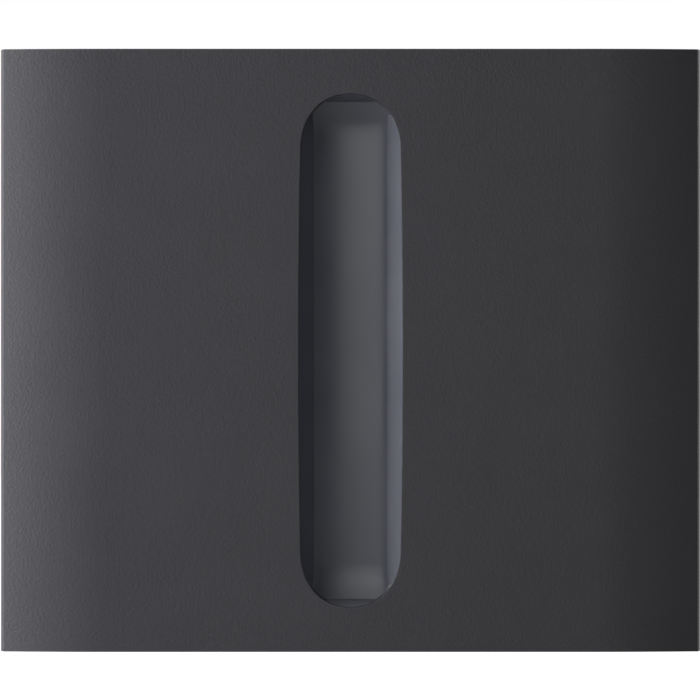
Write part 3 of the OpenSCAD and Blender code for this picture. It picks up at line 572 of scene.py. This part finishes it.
def plastic(name, colour, roughness, grain_mm=0.3, depth_um=4.0, mottling=0.06, worn=0.25, specular=0.5,
            clear=0.0):
    """Mottled colour, worn edges, smudged gloss and a grain of the given size and depth."""
    tree, shader = new_material(name)
    base = use_group(tree, mottle, Colour=(*colour, 1.0), Amount=mottling, Size=6.0)["Colour"]
    mask = use_group(tree, wear, Width=0.18, Amount=worn)["Mask"]
    lighter = tuple(min(1.0, 1.5 * c + 0.02) for c in colour)
    mixed = add(tree, "Mix", {0: mask, 6: base, 7: (*lighter, 1.0)}, data_type="RGBA")
    tree.links.new(mixed.outputs[2], shader.inputs["Base Color"])
    gloss = use_group(tree, smudge, Roughness=roughness, Variation=0.04, Size=9.0)["Roughness"]
    tree.links.new(gloss, shader.inputs["Roughness"])
    height = use_group(tree, grain, Size=grain_mm, Fineness=0.35)["Height"]
    bump = add(tree, "Bump", {"Strength": 1.0, "Distance": depth_um * 1e-6, "Height": height})
    tree.links.new(bump.outputs[0], shader.inputs["Normal"])
    shader.inputs["Specular IOR Level"].default_value = specular
    if clear:
        shader.inputs["Transmission Weight"].default_value = clear
    return materials[name]


def metal(name, colour, roughness, line_mm=0.12, depth_um=1.0, stretch=25.0, worn=0.4):
    """Metal with drawing lines, patchy gloss and bright worn edges."""
    tree, shader = new_material(name)
    drawn = use_group(tree, lines, Size=line_mm, Stretch=stretch)
    base = use_group(tree, mottle, Colour=(*colour, 1.0), Amount=0.08, Size=3.0)["Colour"]
    streaked = add(tree, "VectorMath", {0: base, 3: drawn["Shade"]}, operation="SCALE").outputs[0]
    mask = use_group(tree, wear, Width=0.15, Amount=worn)["Mask"]
    bright = tuple(min(1.0, 1.25 * c + 0.05) for c in colour)
    mixed = add(tree, "Mix", {0: mask, 6: streaked, 7: (*bright, 1.0)}, data_type="RGBA")
    tree.links.new(mixed.outputs[2], shader.inputs["Base Color"])
    gloss = use_group(tree, smudge, Roughness=roughness, Variation=0.08, Size=4.0)["Roughness"]
    tree.links.new(gloss, shader.inputs["Roughness"])
    bump = add(tree, "Bump", {"Strength": 1.0, "Distance": depth_um * 1e-6, "Height": drawn["Height"]})
    tree.links.new(bump.outputs[0], shader.inputs["Normal"])
    shader.inputs["Metallic"].default_value = 1.0
    return materials[name]


# %% The plastics and metals of this part
plastic("graphite_grain", (0.0190, 0.0190, 0.0226), 0.47, grain_mm=0.28, depth_um=46.0, mottling=0.03,
        worn=0.0, specular=0.285)
plastic("graphite_smooth", (0.0340, 0.0358, 0.0450), 0.22, grain_mm=0.9, depth_um=0.4, mottling=0.03,
        worn=0.0)
plastic("black_plastic", (0.012, 0.012, 0.013), 0.5, grain_mm=0.15, depth_um=3.0)
plastic("frame_plastic", (0.032, 0.032, 0.035), 0.5, grain_mm=0.2, depth_um=4.0)
plastic("white_plastic", (0.72, 0.72, 0.68), 0.45, grain_mm=0.2, depth_um=2.0, worn=0.1)
plastic("orange_plastic", (0.75, 0.13, 0.015), 0.42, grain_mm=0.15, depth_um=2.0)
plastic("grey_plastic", (0.22, 0.225, 0.235), 0.5, grain_mm=0.22, depth_um=6.0, mottling=0.05)
plastic("dark_grey_plastic", (0.07, 0.072, 0.076), 0.5, grain_mm=0.2, depth_um=4.0)
plastic("yellow_plastic", (0.5, 0.3, 0.01), 0.35, grain_mm=0.4, depth_um=1.5)
plastic("sleeve_blue", (0.012, 0.02, 0.085), 0.3, grain_mm=0.5, depth_um=1.0)
plastic("epoxy_blue", (0.01, 0.08, 0.28), 0.28, grain_mm=1.1, depth_um=12.0)
plastic("relay_plastic", (0.014, 0.028, 0.06), 0.35, grain_mm=0.3, depth_um=2.0)
plastic("winding_tape", (0.65, 0.42, 0.02), 0.3, grain_mm=0.8, depth_um=5.0)
plastic("fuse_brown", (0.17, 0.075, 0.03), 0.55, grain_mm=0.25, depth_um=6.0)
plastic("ferrite", (0.02, 0.019, 0.018), 0.62, grain_mm=0.12, depth_um=6.0, mottling=0.2)
plastic("clear_plastic", (0.8, 0.83, 0.85), 0.12, grain_mm=1.5, depth_um=1.0, clear=0.85)
plastic("lamp_resin", (0.8, 0.78, 0.55), 0.2, grain_mm=0.5, depth_um=1.0)
plastic("circuit_board", (0.008, 0.07, 0.028), 0.3, grain_mm=0.5, depth_um=3.0, mottling=0.15)
metal("zinc_steel", (0.62, 0.63, 0.62), 0.34, line_mm=0.2, depth_um=1.5)
metal("bright_steel", (0.72, 0.72, 0.73), 0.22)
metal("tin_plate", (0.68, 0.69, 0.7), 0.3, line_mm=0.3, depth_um=1.5)
metal("gold_plate", (0.83, 0.6, 0.22), 0.24)
metal("soft_iron", (0.5, 0.5, 0.5), 0.36)
metal("contact_brass", (0.75, 0.48, 0.2), 0.3)
metal("copper_wire", (0.62, 0.22, 0.08), 0.3, line_mm=0.12, depth_um=4.0)
print(len(materials), "materials")

# %% [markdown]
# ## Every node gets its finish
# A CAD node whose shape is right keeps its mesh, and only its material slots change. The pieces that stand
# for a node take the same slot's finish.

# %% Assign the finishes
for name, node_object in nodes.items():
    node_object.data.materials.clear()
    node_object.data.materials.append(materials[slot_of[name]])
for slot, made in slot_pieces.items():
    for each in made:
        each.data.materials.clear()
        each.data.materials.append(materials[slot])

# %% [markdown]
# ## The studio
# The camera looks straight at the face through a very long lens, so the edges stay parallel. The background
# is plain white, and so is everything behind the part, which the steep bevels reflect. The room in front is
# dim. The floor is grey paper that only the camera sees as white, because white paper would light the part
# from below too strongly. Five small soft lights stand one above the other in front, four tall ones make an
# arc to the left, two weak ones stand to the right, and one hangs above. The arc on the left is what the
# face's left side and the groove's right wall catch.

# %% Camera
view_distance = 0.9
sensor_mm = 36.0
frame_width = 82.32 * mm
centre_shift = (-0.06 * mm, 0.045 * mm)

camera_data = bpy.data.cameras.new("camera")
camera_data.sensor_width = sensor_mm
camera_data.lens = sensor_mm * view_distance / frame_width
camera = bpy.data.objects.new("camera", camera_data)
camera.location = (centre_shift[0], bevel_end - view_distance, centre_shift[1])
camera.rotation_euler = (math.pi / 2, 0, 0)
bpy.context.scene.collection.objects.link(camera)
bpy.context.scene.camera = camera
bpy.context.scene.view_settings.view_transform = "Standard"

# %% Background
room_in_front, room_behind = 0.06, 0.9

world = bpy.data.worlds.new("studio")
bpy.context.scene.world = world
world.use_nodes = True
sky = world.node_tree
background = sky.nodes["Background"]
direction = add(sky, "TexCoord").outputs["Generated"]
depth = add(sky, "SeparateXYZ", {0: direction}).outputs[1]
room = add(sky, "MapRange", {"Value": depth, "From Min": -0.15, "From Max": 0.35, "To Min": room_in_front,
                             "To Max": room_behind}).outputs[0]
seen = add(sky, "LightPath").outputs["Is Camera Ray"]
level = add(sky, "Mix", {0: seen, 2: room, 3: 1.0}, data_type="FLOAT").outputs[0]
sky.links.new(level, background.inputs["Strength"])
background.inputs["Color"].default_value = (1, 1, 1, 1)

# %% Floor
floor_gap = 30 * mm
floor_size = 6.0
floor_grey = 0.45
floor_mesh = bpy.data.meshes.new("floor")
corner = floor_size / 2
floor_mesh.from_pydata([(-corner, -corner, -half_h - floor_gap), (corner, -corner, -half_h - floor_gap),
                        (corner, corner, -half_h - floor_gap), (-corner, corner, -half_h - floor_gap)],
                       [], [(0, 1, 2, 3)])
floor = bpy.data.objects.new("floor", floor_mesh)
bpy.context.scene.collection.objects.link(floor)
tree, shader = new_material("floor_paper")
shader.inputs["Base Color"].default_value = (floor_grey, floor_grey, floor_grey, 1)
shader.inputs["Roughness"].default_value = 0.9
seen = add(tree, "LightPath").outputs["Is Camera Ray"]
tree.links.new(seen, shader.inputs["Emission Color"])
shader.inputs["Emission Strength"].default_value = 1.0
floor_mesh.materials.append(materials["floor_paper"])


# %% Lights
def softbox(name, azimuth, elevation, distance, width, height, power):
    """A rectangular area light that faces the part. From the part it is seen at an azimuth, with left
    negative, and an elevation. Distances and sizes are in metres and power in watts."""
    data = bpy.data.lights.new(name, "AREA")
    data.shape = "RECTANGLE"
    data.size, data.size_y = width, height
    data.energy = power
    made = bpy.data.objects.new(name, data)
    turn, rise = math.radians(azimuth), math.radians(elevation)
    place = Vector((math.sin(turn) * math.cos(rise), -math.cos(turn) * math.cos(rise), math.sin(rise)))
    made.location = distance * place
    made.rotation_euler = (-place).to_track_quat("-Z", "Y").to_euler()
    made.visible_camera = False
    bpy.context.scene.collection.objects.link(made)
    return made


softboxes = {
    "front_0": (-6, 0, 0.4, 0.126, 0.07, 0.042),
    "front_10": (-6, 10, 0.4, 0.126, 0.07, 0.056),
    "front_20": (-6, 20, 0.4, 0.126, 0.07, 0.039),
    "front_30": (-6, 30, 0.4, 0.126, 0.07, 0.034),
    "front_42": (-6, 42, 0.4, 0.126, 0.07, 0.046),
    "left_40": (-40, 0, 0.25, 0.05, 0.31, 0.22),
    "left_54": (-54, 0, 0.25, 0.05, 0.31, 0.29),
    "left_68": (-68, 0, 0.25, 0.05, 0.31, 0.95),
    "left_80": (-80, 0, 0.25, 0.05, 0.31, 1.8),
    "right_28": (28, 0, 0.4, 0.08, 0.5, 0.08),
    "right_70": (70, 0, 0.4, 0.08, 0.5, 0.27),
    "top": (0, 65, 0.4, 0.14, 0.14, 0.13),
}
for name, values in softboxes.items():
    softbox(name, *values)
print(len(softboxes), "soft lights")
